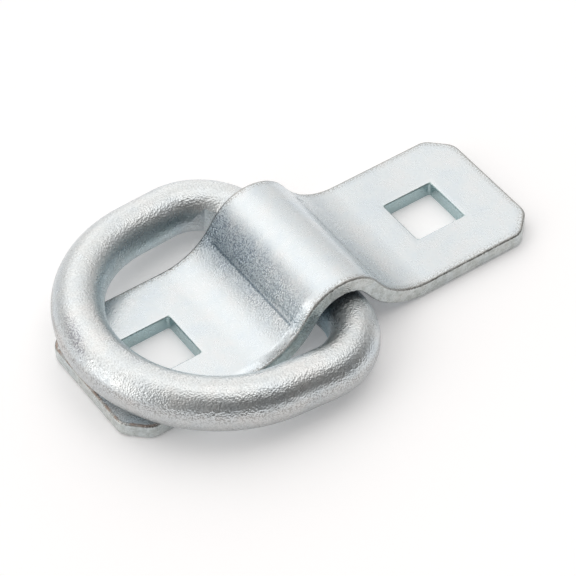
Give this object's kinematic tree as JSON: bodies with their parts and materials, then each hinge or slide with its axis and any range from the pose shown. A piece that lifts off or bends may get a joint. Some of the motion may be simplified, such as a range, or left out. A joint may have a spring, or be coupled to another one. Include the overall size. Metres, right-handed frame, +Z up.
{
  "type": "bolt-on d ring tie down",
  "caption": "Forged D ring that swings in a pressed flat-bar saddle with two square bolt holes, for tying down cargo.",
  "frame": {"origin": "on the deck plane under the saddle, midway between the two square bolt holes", "axes": "+X along the saddle, away from the pad that the ring lies on; +Y across the saddle, along the ring's bar; +Z up from the deck"},
  "size_m": [0.1137, 0.0742, 0.018],
  "materials": {
    "plated_strap": "bright zinc plating, satin, finely pitted",
    "plated_ring": "bright zinc plating over a shot-blasted forging"
  },
  "bodies": {
    "saddle": {"saddle_bracket": "plated_strap"},
    "ring": {"d_ring": "plated_ring"}
  },
  "joints": [
    {"name": "ring_swing", "type": "hinge", "parent": "saddle", "child": "ring", "pos_m": [0.00065, 0.0011, 0.0061], "axis": [-0.0366, 0.9993, 0], "range_deg": [0, 169.8]}
  ]
}
